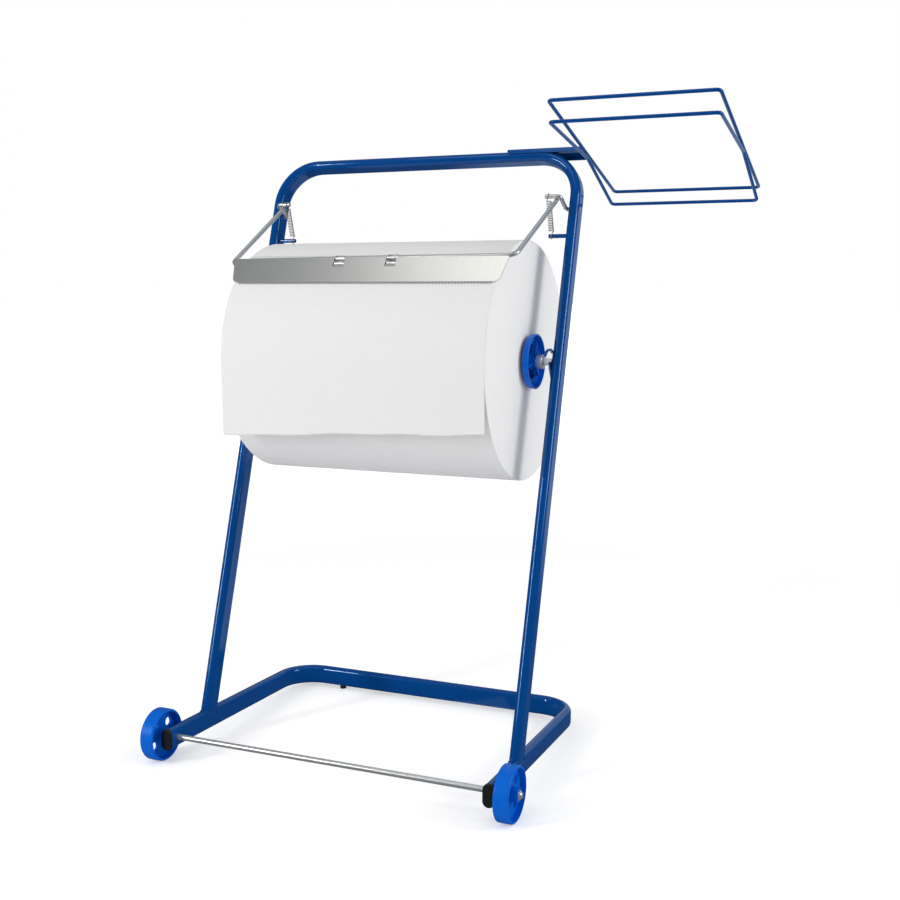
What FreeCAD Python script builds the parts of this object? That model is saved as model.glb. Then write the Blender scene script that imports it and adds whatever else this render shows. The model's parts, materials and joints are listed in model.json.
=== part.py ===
import FreeCAD, Part
import math
import os
from FreeCAD import Placement, Rotation, Vector

# Floor stand for a large paper roll: a bent-tube hoop leans back from a U-shaped tube base on two
# wheels and two rubber feet. It holds the roll on a rod, a sprung tear bail in front of it, and a double
# wire ring for a waste bag at one upper corner.
#
# Three frames are used, all in millimetres with x to the right of somebody facing the roll.
# Base frame: y to the back from the wheel axle, z up from the underside of the base tube.
# Hoop frame: y to the back from the hoop's mid plane, z along its legs from the top of the base tube.
# Stand frame: the finished part, floor at z = 0, origin at the bottom centre of its overall box.

# Bent flat-oval tube of base and hoop
tube_width = 30.0
tube_thickness = 15.0
tube_wall = 1.5
weld_gap = 0.1

# How far solids reach into each other before they are joined, and cutters past what they cut
overlap = 1.0

# Base, a U with its open side to the front, wide enough for the roll between the legs
roll_width = 400.0
roll_side_room = 36.8
axle_to_rear_face = 361.5
base_corner_radius = 60.0
base_front_overhang = 15.5

# Hoop
hoop_setback = 87.8
hoop_lean = 15.94
hoop_length = 858.2
hoop_corner_radius = 69.0

# End caps in the front ends of the base
cap_thickness = 4.0
cap_overhang = 0.8
cap_plug_length = 9.0
cap_plug_clearance = 0.15
cap_edge_radius = 1.2

# Rear feet
foot_diameter = 10.0
foot_height = 4.0
foot_inset = 92.5
foot_stem_diameter = 5.0
foot_stem_length = 7.0

# Wheel axle with its spacers and push-on caps
axle_diameter = 8.0
spacer_diameter = 14.0
axle_cap_diameter = 13.0
axle_cap_wall = 0.8
axle_cap_depth = 5.0
axle_cap_rim = 1.2
press_clearance = 0.02

# Wheels
wheel_diameter = 73.8
wheel_width = 20.8
wheel_gap = 3.8
wheel_edge_radius = 2.6
wheel_rim_thickness = 3.4
wheel_web_thickness = 2.6
wheel_web_setback = 10.6
wheel_hub_diameter = 20.5
wheel_hub_overhang = 2.4
wheel_hub_draft = 1.0
wheel_hole_diameter = 12.6
wheel_hole_circle = 43.0
wheel_hole_count = 4
wheel_hole_start = 40.0
running_clearance = 0.08
end_play = 0.3

# Paper roll on its core, plugs, rod and collars
roll_diameter = 339.0
roll_below_pivot = 227.3
roll_forward = 7.0
roll_edge_chamfer = 0.6
core_diameter = 64.0
core_wall = 2.0
core_overhang = 4.5
core_clearance = 0.05
rod_diameter = 10.0
rod_end_gap = 0.3
collar_diameter = 20.0
collar_width = 10.0
collar_chamfer = 0.8
collar_gap = 0.3
plug_flange_diameter = 78.0
plug_flange_width = 9.0
plug_flange_draft = 1.3
plug_flange_chamfer = 0.6
plug_rim_thickness = 2.2
plug_web_thickness = 2.4
plug_web_setback = 1.6
plug_hub_diameter = 18.0
plug_hub_draft = 1.0
plug_barrel_length = 24.0
plug_barrel_wall = 2.4
plug_barrel_lead = 3.0
plug_barrel_lead_depth = 0.8
plug_window_count = 3
plug_window_inner = 24.0
plug_window_outer = 50.0
plug_spoke_width = 5.0
plug_rib_thickness = 1.8
plug_rib_depth = 8.0
plug_rib_setback = 2.5

# Hooks that carry the rod
hook_thickness = 3.0
hook_seat_clearance = 0.25
hook_back = -8.0
hook_bottom = -22.0
hook_bottom_front = 0.0
hook_chin_front = 12.0
hook_chin = -11.0
hook_horn_front = 15.5
hook_horn_bottom = -5.5
hook_horn_top = -2.0
hook_slot_top = 12.4
hook_finger_thickness = 3.4
hook_finger_crown_front = 28.0
hook_finger_crown = 13.4
hook_finger_tip_front = 40.0
hook_finger_tip = 0.5
hook_finger_root = 4.0
hook_tip_slope = 20.0

# Sheet that hangs from the front of the roll
sheet_thickness = 0.6
sheet_gap = 0.3
sheet_drop_left = 101.0
sheet_drop_right = 83.0

# Tear bail: two cranks in the legs, two wires and a toothed blade
pivot_below_top = 87.9
crank_diameter = 6.0
crank_bend_radius = 6.0
crank_corner_inset = 6.2
crank_end_gap = 0.3
stub_rise = 7.0
stub_forward = 34.0
stub_length = 22.1
bail_shift = 1.0
bail_wire_diameter = 6.4
bail_bend_radius = 14.0
bail_arm_top_inset = 13.8
bail_arm_bottom_overhang = 6.0
bail_arm_overrun = 2.0
bail_run_end_inset = 26.0
bail_weld_gap = 0.3
blade_thickness = 1.0
blade_height = 42.0
blade_overhang = 11.0
blade_taper = 8.0
blade_corner_radius = 8.0
blade_gap = 0.6
blade_angle = 21.64
blade_tilt = 13.2
blade_wire_gap = 0.2
blade_left_wire_below_top = 7.1
blade_right_wire_end_below_top = 0.6
blade_right_wire_climb = 4.2
tooth_pitch = 4.5
tooth_depth = 3.5
window_width = 16.0
window_depth = 14.5
window_spacing = 80.0
strap_thickness = 0.8
strap_side_gap = 0.5
strap_foot_angle = 50.0
strap_lip_angle = 20.0

# Springs between the cranks' stubs and the pins on the legs
pin_below_pivot = 40.2
pin_forward = 2.0
pin_diameter = 6.0
pin_overhang = 4.0
pin_groove_depth = 0.6
pin_groove_width = 2.4
spring_diameter = 8.4
spring_wire = 1.2
spring_inset = 23.5
spring_hook_clearance = 0.3
spring_coil_start = 6.4
spring_turns = 18
eye_opening = 100.0

# Arm and double wire ring for a waste bag, at the upper right corner
arm_sheet = 1.6
arm_seat_gap = 0.1
arm_bend_radius = 3.0
arm_flange_depth = 7.5
arm_inset = 118.2
arm_end_inset = 4.6
arm_nose_chamfer = 5.0
arm_end_gap = 0.1
rivet_inset = 61.8
rivet_pitch = 33.0
rivet_diameter = 6.0
rivet_head_diameter = 13.0
rivet_head_height = 2.2
rivet_foot_length = 4.0
ring_wire = 5.0
ring_width = 228.0
ring_front = 183.0
ring_rear = 173.0
ring_tilt = 2.6
ring_rise = -0.4
ring_bend_radius = 6.0
lower_ring_front = 170.0
lower_ring_rear = 165.0
lower_ring_front_droop = 19.0
lower_ring_rear_droop = 18.0
lower_ring_peak = 12.0
lower_ring_peak_radius = 60.0
ring_weld_gap = 0.1

# Places that follow from the sizes above
X = Vector(1, 0, 0)
Y = Vector(0, 1, 0)
Z = Vector(0, 0, 1)
inner_face = roll_width / 2 + roll_side_room
side_plane = inner_face + tube_thickness / 2
outer_face = inner_face + tube_thickness
base_width = 2 * outer_face
axle_height = tube_width / 2
wheel_radius = wheel_diameter / 2
rear_line = axle_to_rear_face - tube_thickness / 2
foot_side = outer_face - foot_inset
pivot_height = hoop_length - pivot_below_top
roll_height = pivot_height - roll_below_pivot
pin_height = pivot_height - pin_below_pivot
stub_height = pivot_height + stub_rise
stub_reach = math.hypot(pin_height - stub_height, stub_forward - pin_forward)
crank_side = inner_face - crank_corner_inset
spring_side = inner_face - spring_inset
blade_top_half = roll_width / 2 + blade_overhang
blade_bottom_half = blade_top_half - blade_taper


def box(x, y, z):
    return Part.makeBox(x[1] - x[0], y[1] - y[0], z[1] - z[0], Vector(x[0], y[0], z[0]))


def rod(start, end, diameter):
    return Part.makeCylinder(diameter / 2, start.distanceToPoint(end), start, end - start)


def joined(solids):
    return solids[0].multiFuse(solids[1:]).removeSplitter()


def mirrored(solid):
    return solid.mirror(Vector(0, 0, 0), X)


def turned(outline):
    # solid of revolution about x, from points given as distance along x and radius
    points = [Vector(along, 0, radius) for along, radius in outline]
    return Part.Face(Part.makePolygon(points + points[:1])).revolve(Vector(0, 0, 0), X, 360)


def oblong(width, thickness):
    # flat-oval face, long way along y, narrow sides full round
    radius = thickness / 2
    flat = width / 2 - radius
    corners = [Vector(x, y, 0)
               for x, y in ((radius, -flat), (radius, flat), (-radius, flat), (-radius, -flat))]
    edges = [Part.LineSegment(corners[0], corners[1]).toShape(),
             Part.Arc(corners[1], Vector(0, width / 2, 0), corners[2]).toShape(),
             Part.LineSegment(corners[2], corners[3]).toShape(),
             Part.Arc(corners[3], Vector(0, -width / 2, 0), corners[0]).toShape()]
    return Part.Face(Part.Wire(edges))


def disc(diameter):
    return Part.Face(Part.Wire(Part.Circle(Vector(0, 0, 0), Z, diameter / 2).toShape()))


def circles(solid, radius):
    return [edge for edge in solid.Edges
            if isinstance(edge.Curve, Part.Circle) and abs(edge.Curve.Radius - radius) < 1e-6]


def direction(start, end):
    return (end - start).normalize()


def bend_at(before, corner, after, radius):
    # start, end, centre, axis and angle of the round bend at a corner of a path
    back = direction(corner, before)
    ahead = direction(corner, after)
    half = back.getAngle(ahead) / 2
    reach = radius / math.tan(half)
    centre = corner + (back + ahead).normalize() * (radius / math.sin(half))
    turn = 180 - math.degrees(2 * half)
    return corner + back * reach, corner + ahead * reach, centre, ahead.cross(back), turn


def bent_bar(points, radii, section, side, closed=False):
    # bar along straight runs joined by round bends; side is the way that the section's y axis points
    count = len(points)
    corners = list(range(count)) if closed else list(range(1, count - 1))
    radii = radii if isinstance(radii, list) else [radii] * len(corners)
    bends = {i: bend_at(points[i - 1], points[i], points[(i + 1) % count], radius)
             for i, radius in zip(corners, radii)}
    pieces = []
    for i in range(count if closed else count - 1):
        following = (i + 1) % count
        start = bends[i][1] if i in bends else points[i]
        end = bends[following][0] if following in bends else points[following]
        ahead = direction(start, end)
        face = section.copy()
        face.Placement = Placement(start, Rotation(side.cross(ahead), side, ahead, "ZYX"))
        pieces.append(face.extrude(end - start))
        if following in bends:
            bend_start, bend_end, centre, axis, angle = bends[following]
            face = face.translated(end - start)
            pieces.append(face.revolve(centre, axis, angle))
    return joined(pieces)


def bent_wire(points, radii, diameter, side=Y, closed=False):
    return bent_bar(points, radii, disc(diameter), side, closed)


# Frames
hoop_in_base = Placement(Vector(0, hoop_setback, tube_width), Rotation(X, -hoop_lean))
foot_line = Vector(0, rear_line, -foot_height)
axle_point = Vector(0, 0, axle_height)
foot_to_axle = axle_point - foot_line
floor_slope = math.asin(wheel_radius / foot_to_axle.Length)
base_turn = math.degrees(floor_slope - math.atan2(foot_to_axle.z, -foot_to_axle.y))
base_on_floor = Placement(Vector(0, 0, 0), Rotation(X, -base_turn))
base_on_floor.Base = Vector(0, 0, -base_on_floor.multVec(foot_line).z)
hoop_on_floor = base_on_floor.multiply(hoop_in_base)


def lying(solid, placement):
    moved = solid.copy()
    moved.Placement = placement.multiply(moved.Placement)
    return moved


# Base
def tube(points, corner_radius, side):
    radius = corner_radius - tube_thickness / 2
    outside = bent_bar(points, radius, oblong(tube_width, tube_thickness), side)
    inside = bent_bar(points, radius, oblong(tube_width - 2 * tube_wall, tube_thickness - 2 * tube_wall), side)
    return outside.cut(inside)


def make_base_tube():
    path = [Vector(side_plane, -base_front_overhang, axle_height), Vector(side_plane, rear_line, axle_height),
            Vector(-side_plane, rear_line, axle_height), Vector(-side_plane, -base_front_overhang, axle_height)]
    solid = tube(path, base_corner_radius, Z)
    bore = axle_diameter + 2 * press_clearance
    holes = [rod(Vector(-base_width, 0, axle_height), Vector(base_width, 0, axle_height), bore)]
    for x in (-foot_side, foot_side):
        holes.append(rod(Vector(x, rear_line, -foot_height), Vector(x, rear_line, 2 * tube_wall),
                         foot_stem_diameter + 2 * press_clearance))
    return solid.cut(holes)


def make_end_cap():
    # oblong cap over the tube's front end, with a hollow plug inside it
    cap = oblong(tube_width + 2 * cap_overhang, tube_thickness + 2 * cap_overhang).extrude(Z * cap_thickness)
    inset = 2 * (tube_wall + cap_plug_clearance)
    plug = oblong(tube_width - inset, tube_thickness - inset).extrude(-Z * cap_plug_length)
    hollow_inset = inset + 2 * tube_wall
    hollow = oblong(tube_width - hollow_inset, tube_thickness - hollow_inset).extrude(-Z * cap_plug_length)
    front = [edge for edge in cap.Edges if abs(edge.BoundBox.ZMin - cap_thickness) < 1e-6]
    cap = joined([cap.makeFillet(cap_edge_radius, front), plug.cut(hollow)])
    tube_end = Vector(side_plane, -base_front_overhang, axle_height)
    return lying(cap, Placement(tube_end, Rotation(X, Z, -Y, "ZYX")))


def make_foot(x):
    # rubber stud with a stem through the tube; its underside lies flat on the floor
    stud = rod(Vector(x, rear_line, -2 * foot_height), Vector(x, rear_line, tube_thickness / 4), foot_diameter)
    crest = rod(Vector(x - foot_diameter, rear_line, tube_thickness / 2),
                Vector(x + foot_diameter, rear_line, tube_thickness / 2), tube_thickness + 2 * press_clearance)
    stem = rod(Vector(x, rear_line, -foot_height / 2), Vector(x, rear_line, foot_stem_length),
               foot_stem_diameter)
    below = box((-base_width, base_width), (0, 2 * axle_to_rear_face), (-tube_width, 0))
    floor = lying(below, base_on_floor.inverse())
    return joined([stud.cut(crest), stem]).cut(floor)


# Axle and wheels
hub_inner = outer_face + wheel_gap
hub_outer = hub_inner + wheel_width + wheel_hub_overhang
axle_end = hub_outer + end_play + axle_cap_depth - 2 * axle_cap_wall


def at_axle(solid):
    return solid.translated(axle_point)


def make_axle():
    return rod(axle_point - X * axle_end, axle_point + X * axle_end, axle_diameter)


def make_spacer():
    bore = axle_diameter / 2 + press_clearance
    end = hub_inner - end_play
    return at_axle(turned([(outer_face, bore), (outer_face, spacer_diameter / 2), (end, spacer_diameter / 2),
                           (end, bore)]))


def make_axle_cap():
    # domed push-on cap: a short skirt with a rim, closed by a shallow dome
    skirt_start = hub_outer + end_play
    outer = axle_cap_diameter / 2
    bore = axle_diameter / 2 + press_clearance
    dome_start = skirt_start + axle_cap_rim
    top = skirt_start + axle_cap_depth
    skirt = turned([(skirt_start, bore), (skirt_start, outer), (dome_start, outer), (dome_start, bore)])
    sphere_radius = ((top - dome_start) ** 2 + (outer - axle_cap_wall) ** 2) / (2 * (top - dome_start))
    dome = Part.makeSphere(sphere_radius, Vector(top - sphere_radius, 0, 0))
    dome = dome.common(rod(Vector(dome_start, 0, 0), Vector(top + overlap, 0, 0),
                           2 * (outer - axle_cap_wall)))
    socket = rod(Vector(skirt_start, 0, 0), Vector(axle_end + press_clearance, 0, 0), 2 * bore)
    return at_axle(joined([skirt, dome]).cut(socket))


def make_wheel():
    outer = wheel_radius
    inside = outer - wheel_rim_thickness
    rim = turned([(0, inside), (0, outer), (wheel_width, outer), (wheel_width, inside)])
    rim = rim.makeFillet(wheel_edge_radius, circles(rim, outer))
    bore = axle_diameter / 2 + running_clearance
    hub_end = wheel_width + wheel_hub_overhang
    hub_radius = wheel_hub_diameter / 2
    hub = turned([(0, bore), (0, hub_radius), (hub_end, hub_radius - wheel_hub_draft), (hub_end, bore)])
    web_end = wheel_web_setback + wheel_web_thickness
    web = turned([(wheel_web_setback, bore), (wheel_web_setback, inside + overlap), (web_end, inside + overlap),
                  (web_end, bore)])
    for i in range(wheel_hole_count):
        turn = math.radians(wheel_hole_start + i * 360 / wheel_hole_count)
        centre = Vector(0, math.cos(turn), math.sin(turn)) * (wheel_hole_circle / 2)
        web = web.cut(rod(centre, centre + X * wheel_width, wheel_hole_diameter))
    return at_axle(joined([rim, web, hub]).translated(X * hub_inner))


# Hoop
def make_hoop_tube():
    foot = -tube_thickness
    top = hoop_length - tube_thickness / 2
    path = [Vector(side_plane, 0, foot), Vector(side_plane, 0, top),
            Vector(-side_plane, 0, top), Vector(-side_plane, 0, foot)]
    solid = tube(path, hoop_corner_radius, Y)
    pivot = rod(Vector(-base_width, 0, pivot_height), Vector(base_width, 0, pivot_height),
                crank_diameter + 2 * running_clearance)
    cutters = [pivot]
    for x in rivet_places():
        cutters.append(rod(Vector(x, 0, top), Vector(x, 0, hoop_length + overlap),
                           rivet_diameter + 2 * press_clearance))
    solid = lying(solid.cut(cutters), hoop_in_base)
    crest = tube_width - tube_thickness / 2
    copes = [box((-base_width, base_width), (-base_width, base_width), (-base_width, crest))]
    for x in (-side_plane, side_plane):
        copes.append(rod(Vector(x, -base_width, crest), Vector(x, base_width, crest),
                         tube_thickness + 2 * weld_gap))
    return solid.cut(copes)


# Roll, core, plugs and rod; y and z are set to the roll's axis by at_roll
def at_roll(solid):
    return solid.translated(Vector(0, -roll_forward, roll_height))


def make_paper_roll():
    half = roll_width / 2
    bore = core_diameter / 2 + core_clearance
    edge = roll_edge_chamfer
    outer = roll_diameter / 2
    return at_roll(turned([(-half, bore), (-half, outer - edge), (edge - half, outer), (half - edge, outer),
                           (half, outer - edge), (half, bore)]))


def make_core():
    half = roll_width / 2 + core_overhang
    outer = core_diameter / 2
    inner = outer - core_wall
    return at_roll(turned([(-half, inner), (-half, outer), (half, outer), (half, inner)]))


def make_plug():
    # dished flange against the core's end, barrel inside the core, hub on the rod
    face = roll_width / 2 + core_overhang
    bore = rod_diameter / 2 + running_clearance
    barrel = core_diameter / 2 - core_wall - core_clearance
    inside = barrel - plug_barrel_wall
    flange = plug_flange_diameter / 2
    outside = face + plug_flange_width
    web_start = face + plug_web_setback - plug_web_thickness
    web_end = face + plug_web_setback
    dish = flange - plug_flange_draft - plug_rim_thickness
    rim = turned([(face, inside), (face, flange - plug_flange_draft),
                  (outside - plug_flange_chamfer, flange), (outside, flange - plug_flange_chamfer),
                  (outside, flange - plug_rim_thickness), (web_end, dish), (web_end, inside)])
    inner_end = face - plug_barrel_length
    sleeve = turned([(inner_end, inside), (inner_end, barrel - plug_barrel_lead_depth),
                     (inner_end + plug_barrel_lead, barrel), (web_end, barrel), (web_end, inside)])
    web = turned([(web_start, bore), (web_start, inside + overlap), (web_end, inside + overlap),
                  (web_end, bore)])
    hub_radius = plug_hub_diameter / 2
    hub = turned([(inner_end, bore), (inner_end, hub_radius), (web_end, hub_radius),
                  (outside, hub_radius - plug_hub_draft), (outside, bore)])
    ring = turned([(web_start - overlap, plug_window_inner / 2), (web_start - overlap, plug_window_outer / 2),
                   (web_end + overlap, plug_window_outer / 2), (web_end + overlap, plug_window_inner / 2)])
    spokes = []
    ribs = []
    for i in range(plug_window_count):
        turn = 90 + i * 360 / plug_window_count
        spoke = box((web_start - 2 * overlap, web_end + 2 * overlap), (0, flange),
                    (-plug_spoke_width / 2, plug_spoke_width / 2))
        rib = box((web_start - plug_rib_depth, outside - plug_rib_setback),
                  (hub_radius - plug_hub_draft - overlap, inside + overlap),
                  (-plug_rib_thickness / 2, plug_rib_thickness / 2))
        spokes.append(spoke.rotated(Vector(0, 0, 0), X, turn))
        ribs.append(rib.rotated(Vector(0, 0, 0), X, turn))
    return at_roll(joined([rim, sleeve, web.cut(ring.cut(spokes)), hub] + ribs))


def make_roll_rod():
    end = inner_face - rod_end_gap
    return at_roll(rod(X * -end, X * end, rod_diameter))


def make_collar():
    # set collar on the rod, beside the plug's hub
    start = roll_width / 2 + core_overhang + plug_flange_width + collar_gap
    end = start + collar_width
    bore = rod_diameter / 2 + press_clearance
    outer = collar_diameter / 2
    inset = outer - collar_chamfer
    return at_roll(turned([(start, bore), (start, inset), (start + collar_chamfer, outer),
                           (end - collar_chamfer, outer), (end, inset), (end, bore)]))


def make_roll_hook():
    # plate on the leg's inner face: seat behind a low horn, under a finger that arches forward and down
    def place(forward, rise):
        return Vector(inner_face - hook_thickness, -forward, rise)

    seat = rod_diameter / 2 + hook_seat_clearance
    horn_foot = roll_forward + math.sqrt(seat ** 2 - hook_horn_top ** 2)
    finger_root = roll_forward + hook_finger_root
    tip_slope = math.radians(hook_tip_slope)
    crown_below = hook_finger_crown - hook_finger_thickness
    lines = [place(hook_back, hook_bottom), place(hook_bottom_front, hook_bottom),
             place(hook_chin_front, hook_chin), place(hook_horn_front, hook_horn_bottom),
             place(hook_horn_front, hook_horn_top), place(horn_foot, hook_horn_top)]
    edges = [Part.LineSegment(a, b).toShape() for a, b in zip(lines, lines[1:])]
    seat_back = place(roll_forward - seat, 0)
    edges.append(Part.Arc(lines[-1], place(roll_forward, -seat), seat_back).toShape())
    slot_corner = place(roll_forward - seat, hook_slot_top)
    edges.append(Part.LineSegment(seat_back, slot_corner).toShape())
    under_start = place(finger_root, hook_slot_top)
    edges.append(Part.LineSegment(slot_corner, under_start).toShape())
    tip_inner = place(hook_finger_tip_front - math.cos(tip_slope) * hook_finger_thickness,
                      hook_finger_tip - math.sin(tip_slope) * hook_finger_thickness)
    edges.append(Part.Arc(under_start, place(hook_finger_crown_front, crown_below), tip_inner).toShape())
    tip_outer = place(hook_finger_tip_front, hook_finger_tip)
    edges.append(Part.LineSegment(tip_inner, tip_outer).toShape())
    top_root = place(finger_root, hook_slot_top + hook_finger_thickness)
    edges.append(Part.Arc(tip_outer, place(hook_finger_crown_front, hook_finger_crown), top_root).toShape())
    top_back = place(hook_back, hook_slot_top + hook_finger_thickness)
    edges.append(Part.LineSegment(top_root, top_back).toShape())
    edges.append(Part.LineSegment(top_back, lines[0]).toShape())
    plate = Part.Face(Part.Wire(edges)).extrude(X * hook_thickness)
    return plate.translated(Z * roll_height)


def make_hanging_sheet():
    # flat flap in front of the roll, upright on the floor stand, torn off at a slant
    axis = hoop_on_floor.multVec(Vector(0, -roll_forward, roll_height))
    front = axis.y - roll_diameter / 2 - sheet_gap
    half = roll_width / 2
    corners = [Vector(-half, front, axis.z - sheet_drop_left), Vector(half, front, axis.z - sheet_drop_right),
               Vector(half, front, axis.z), Vector(-half, front, axis.z)]
    flap = Part.Face(Part.makePolygon(corners + corners[:1])).extrude(Y * -sheet_thickness)
    return flap


# Tear bail
def hoop_point(x, forward, height):
    return Vector(x, -forward, height)


def make_crank():
    # pivot in the leg, bent forward and then inwards to the stub that holds the arm and the spring
    path = [hoop_point(outer_face - crank_end_gap, 0, pivot_height),
            hoop_point(crank_side, 0, pivot_height),
            hoop_point(crank_side, stub_forward, stub_height),
            hoop_point(crank_side - stub_length, stub_forward, stub_height)]
    return bent_wire(path, crank_bend_radius, crank_diameter, side=Vector(0.3, 1, 0.2))


# Blade frame: s up the blade from the tooth tips, depth out from the roll, in the plane across x
blade_radius = roll_diameter / 2 + blade_gap + blade_thickness
blade_foot = Vector(bail_shift, -roll_forward - blade_radius * math.cos(math.radians(blade_angle)),
                    roll_height + blade_radius * math.sin(math.radians(blade_angle)))
blade_up = Vector(0, math.sin(math.radians(blade_tilt)), math.cos(math.radians(blade_tilt)))
blade_out = Vector(0, -math.cos(math.radians(blade_tilt)), math.sin(math.radians(blade_tilt)))
blade_in_hoop = Placement(blade_foot, Rotation(X, blade_up, X.cross(blade_up), "ZYX"))
wire_depth = blade_thickness + blade_wire_gap + bail_wire_diameter / 2
bail_corner_half = blade_top_half + bail_arm_bottom_overhang
bail_end_half = blade_top_half - bail_run_end_inset


def blade_point(x, up, out):
    return blade_foot + X * x + blade_up * up + blade_out * out


def make_bail_wire(side, end_below_top, climb):
    # arm from under the stub down to the blade, then along the back of the blade past its middle
    end_height = blade_height - end_below_top
    corner = blade_point(side * bail_corner_half, end_height + climb, -wire_depth)
    stub = hoop_point(side * (inner_face - bail_arm_top_inset) + bail_shift, stub_forward, stub_height)
    ahead = direction(corner, stub)
    below = X.cross(ahead)
    below = below if below.z < 0 else -below
    below.normalize()
    top = stub + below * (crank_diameter / 2 + bail_wire_diameter / 2 + bail_weld_gap)
    top = top + direction(corner, top) * bail_arm_overrun
    end = blade_point(-side * bail_end_half, end_height, -wire_depth)
    return bent_wire([top, corner, end], bail_bend_radius, bail_wire_diameter, side=Vector(0.2, 0.5, 0.3))


def make_blade():
    top = blade_top_half
    bottom = blade_bottom_half
    teeth = int(2 * (bottom - blade_corner_radius) / tooth_pitch)
    first = -teeth * tooth_pitch / 2
    points = [Vector(-top, blade_height, 0), Vector(-bottom, tooth_depth, 0), Vector(first, tooth_depth, 0)]
    for i in range(teeth):
        points.append(Vector(first + (i + 0.5) * tooth_pitch, 0, 0))
        points.append(Vector(first + (i + 1) * tooth_pitch, tooth_depth, 0))
    points += [Vector(bottom, tooth_depth, 0), Vector(top, blade_height, 0)]
    sheet = Part.Face(Part.makePolygon(points + points[:1])).extrude(Z * -blade_thickness)
    corners = [edge for edge in sheet.Edges if edge.BoundBox.ZLength > blade_thickness / 2
               and abs(abs(edge.CenterOfMass.x) - bottom) < 1e-6]
    sheet = sheet.makeFillet(blade_corner_radius, corners)
    lower = blade_height - blade_left_wire_below_top
    inner = bail_wire_diameter / 2 + blade_wire_gap
    outer = inner + strap_thickness
    straps = []
    windows = []
    for x in (-window_spacing / 2, window_spacing / 2):
        windows.append(box((x - window_width / 2, x + window_width / 2),
                           (blade_height - window_depth, blade_height + overlap),
                           (-2 * blade_thickness, blade_thickness)))
        along = (x + bail_end_half) / (bail_corner_half + bail_end_half)
        upper = blade_height - blade_right_wire_end_below_top + blade_right_wire_climb * along
        straps.append(make_strap(x, lower, upper, inner, outer))
    return lying(joined([sheet.cut(windows)] + straps), blade_in_hoop)


def make_strap(x, lower, upper, inner, outer):
    # tongue of the blade's own sheet, bent back under both wires, up behind them and over the upper one
    depth = -wire_depth
    root = blade_height - window_depth
    start = x - window_width / 2 + strap_side_gap

    def at(up, out):
        return Vector(start, up, out)

    foot_turn = math.radians(strap_foot_angle)
    lip_turn = math.radians(strap_lip_angle)
    foot_outer = at(lower - outer * math.cos(foot_turn), depth + outer * math.sin(foot_turn))
    foot_inner = at(lower - inner * math.cos(foot_turn), depth + inner * math.sin(foot_turn))
    lip_outer = at(upper + outer * math.sin(lip_turn), depth + outer * math.cos(lip_turn))
    lip_inner = at(upper + inner * math.sin(lip_turn), depth + inner * math.cos(lip_turn))
    edges = [Part.Arc(foot_outer, at(lower - outer, depth), at(lower, depth - outer)).toShape(),
             Part.LineSegment(at(lower, depth - outer), at(upper, depth - outer)).toShape(),
             Part.Arc(at(upper, depth - outer), at(upper + outer, depth), lip_outer).toShape(),
             Part.LineSegment(lip_outer, lip_inner).toShape(),
             Part.Arc(lip_inner, at(upper + inner, depth), at(upper, depth - inner)).toShape(),
             Part.LineSegment(at(upper, depth - inner), at(lower, depth - inner)).toShape(),
             Part.Arc(at(lower, depth - inner), at(lower - inner, depth), foot_inner).toShape(),
             Part.LineSegment(foot_inner, foot_outer).toShape()]
    width = window_width - 2 * strap_side_gap
    hook = Part.Face(Part.Wire(edges)).extrude(X * width)
    corners = [at(root - overlap, 0), foot_outer, foot_inner, at(root - overlap, -blade_thickness)]
    ramp = Part.Face(Part.makePolygon(corners + corners[:1])).extrude(X * width)
    return joined([hook, ramp])


# Springs
def biarc(start, start_way, end, end_way):
    # two tangent arcs from one point and direction to another
    chord = end - start
    ways = start_way + end_way
    spread = 2 * (1 - start_way.dot(end_way))
    across = chord.dot(ways)
    reach = (math.sqrt(across ** 2 + spread * chord.dot(chord)) - across) / spread
    middle = (start + start_way * reach + end - end_way * reach) * 0.5
    first = arc_points(start, start_way, middle)
    second = arc_points(end, -end_way, middle)
    return [Part.Arc(*first).toShape(), Part.Arc(*reversed(second)).toShape()]


def arc_points(start, way, end):
    # start, middle and end of the arc that leaves start along way and reaches end
    chord = end - start
    half = way.getAngle(chord)
    across = way * chord.Length - chord * math.cos(half)
    across.normalize()
    return start, (start + end) * 0.5 + across * (chord.Length / 2 * math.tan(half / 2)), end


def eye_nodes():
    # open loop round the pin, from beside the coil under the pin to the side where the wire runs up
    radius = pin_diameter / 2 + spring_hook_clearance + spring_wire / 2
    turns = [math.radians(angle) for angle in (180 - eye_opening / 2, 225, 270, 315, 360)]
    return [(Vector(math.cos(turn), 0, math.sin(turn)) * radius, Vector(-math.sin(turn), 0, math.cos(turn)))
            for turn in turns]


def coil_nodes():
    # the helix by quarter turns
    radius = spring_diameter / 2 - spring_wire / 2
    steps = 4 * spring_turns - 1
    rise = (stub_reach - 2 * spring_coil_start) / steps
    nodes = []
    for step in range(steps + 1):
        turn = math.pi / 4 + step * math.pi / 2
        way = Vector(-math.sin(turn) * radius, math.cos(turn) * radius, 2 * rise / math.pi).normalize()
        height = spring_coil_start + step * rise
        nodes.append((Vector(math.cos(turn) * radius, math.sin(turn) * radius, height), way))
    return nodes


def turned_over(nodes):
    # the same nodes at the spring's other end, in reverse order
    return [(Vector(p.x, -p.y, stub_reach - p.z), Vector(-w.x, w.y, w.z)) for p, w in reversed(nodes)]


def wire_along(nodes):
    arcs = []
    for (start, start_way), (end, end_way) in zip(nodes, nodes[1:]):
        arcs += biarc(start, start_way, end, end_way)
    path = Part.Wire(arcs)
    section = Part.Wire(Part.Circle(nodes[0][0], nodes[0][1], spring_wire / 2).toShape())
    return path.makePipeShell([section], True, False), arcs


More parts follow.
